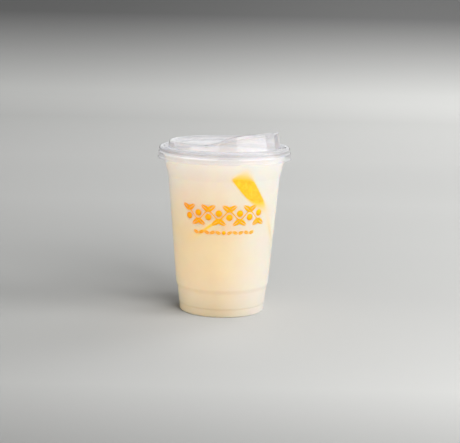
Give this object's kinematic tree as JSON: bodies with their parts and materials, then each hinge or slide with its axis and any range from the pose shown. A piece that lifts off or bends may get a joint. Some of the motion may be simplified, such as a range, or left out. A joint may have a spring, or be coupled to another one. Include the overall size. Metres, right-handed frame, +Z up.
{
  "type": "cup of lemonade",
  "caption": "Clear plastic takeaway cup of cloudy pale lemonade with a lemon wedge against its wall, closed by a clear push-on lid with a raised sip spout.",
  "frame": {"origin": "middle of the foot ring, on the surface the cup stands on", "axes": "+Z up along the cup's axis, -Y towards the printed front, the spout towards +X and -Y"},
  "size_m": [0.0984, 0.0984, 0.134],
  "materials": {
    "clear_cup": "clear, smooth, slightly soft reflections",
    "clear_lid": "clear thin formed sheet, glossy",
    "lemonade": "cloudy pale drink",
    "lemon": "bright waxy lemon peel with fine dimples, only in the visual model",
    "print_ink": "flat orange ink on the cup's front, only in the visual model"
  },
  "bodies": {
    "root": {"cup": "clear_cup", "lemonade": "lemonade", "lid": "clear_lid"}
  },
  "joints": []
}
